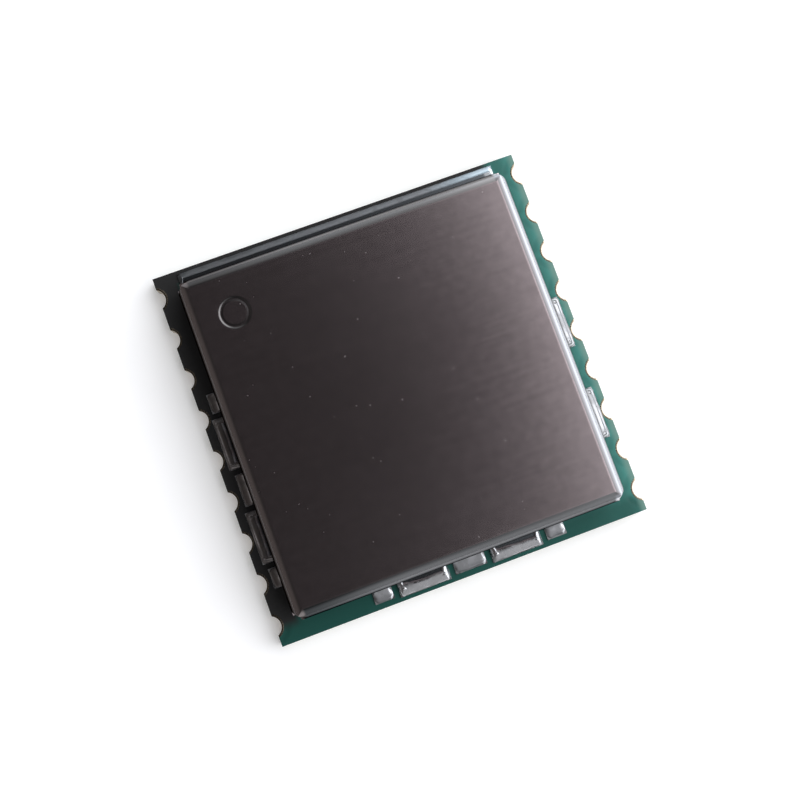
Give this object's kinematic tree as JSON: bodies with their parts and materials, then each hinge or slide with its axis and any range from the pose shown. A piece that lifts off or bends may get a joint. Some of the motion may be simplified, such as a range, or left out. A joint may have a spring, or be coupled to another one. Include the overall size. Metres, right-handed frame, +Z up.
{
  "type": "radio module",
  "caption": "Square surface-mount radio module: a green circuit board with plated half-round edge terminals, and a folded metal shield can soldered over the radio's parts.",
  "frame": {"origin": "centre of the board's underside, which lies on the host board", "axes": "+Z up through the can's top, +X across the rows of terminals towards terminals 10 to 18, +Y along the rows towards the corner mark's end"},
  "size_m": [0.018, 0.018, 0.0028],
  "materials": {
    "board_green": "glossy green solder mask on glass-fibre laminate",
    "terminal_gold": "thin dull gold plating",
    "can_metal": "satin rolled sheet",
    "land_gold": "thin gold plating",
    "solder_tin": "reflowed solder",
    "chip_moulding": "matte",
    "lead_tin": "matte tin",
    "crystal_ceramic": "matte",
    "crystal_metal": "satin",
    "ferrite_grey": "matte",
    "resistor_glaze": "gloss",
    "capacitor_tan": "satin",
    "coil_ceramic": "satin",
    "capacitor_grey": "satin"
  },
  "bodies": {
    "root": {"bulk_capacitor_1": "capacitor_tan", "bulk_capacitor_2": "capacitor_tan", "bulk_capacitor_3": "capacitor_tan", "circuit_board": "board_green", "clock_crystal_base": "crystal_ceramic", "clock_crystal_lid": "crystal_metal", "component_lands": "land_gold", "decoupling_capacitor_1": "capacitor_tan", "decoupling_capacitor_2": "capacitor_tan", "decoupling_capacitor_3": "capacitor_tan", "decoupling_capacitor_4": "capacitor_tan", "decoupling_capacitor_5": "capacitor_tan", "decoupling_capacitor_6": "capacitor_tan", "edge_terminal_1": "terminal_gold", "edge_terminal_10": "terminal_gold", "edge_terminal_11": "terminal_gold", "edge_terminal_12": "terminal_gold", "edge_terminal_13": "terminal_gold", "edge_terminal_14": "terminal_gold", "edge_terminal_15": "terminal_gold", "edge_terminal_16": "terminal_gold", "edge_terminal_17": "terminal_gold", "edge_terminal_18": "terminal_gold", "edge_terminal_2": "terminal_gold", "edge_terminal_3": "terminal_gold", "edge_terminal_4": "terminal_gold", "edge_terminal_5": "terminal_gold", "edge_terminal_6": "terminal_gold", "edge_terminal_7": "terminal_gold", "edge_terminal_8": "terminal_gold", "edge_terminal_9": "terminal_gold", "ferrite_bead": "ferrite_grey", "load_capacitor_1": "capacitor_grey", "load_capacitor_2": "capacitor_grey", "load_capacitor_3": "capacitor_grey", "load_capacitor_4": "capacitor_grey", "main_crystal_base": "crystal_ceramic", "main_crystal_lid": "crystal_metal", "power_coil": "ferrite_grey", "radio_chip_body": "chip_moulding", "radio_chip_leads": "lead_tin", "reset_capacitor": "capacitor_tan", "reset_resistor": "resistor_glaze", "rf_capacitor_1": "capacitor_grey", "rf_capacitor_2": "capacitor_grey", "rf_capacitor_3": "capacitor_grey", "rf_capacitor_4": "capacitor_grey", "rf_capacitor_5": "capacitor_grey", "rf_coil_1": "coil_ceramic", "rf_coil_2": "coil_ceramic", "rf_coil_3": "coil_ceramic", "rf_coil_4": "coil_ceramic", "shield_can": "can_metal", "shield_lands": "solder_tin", "solder_back": "solder_tin", "solder_front": "solder_tin", "solder_left": "solder_tin", "solder_right": "solder_tin"}
  },
  "joints": []
}
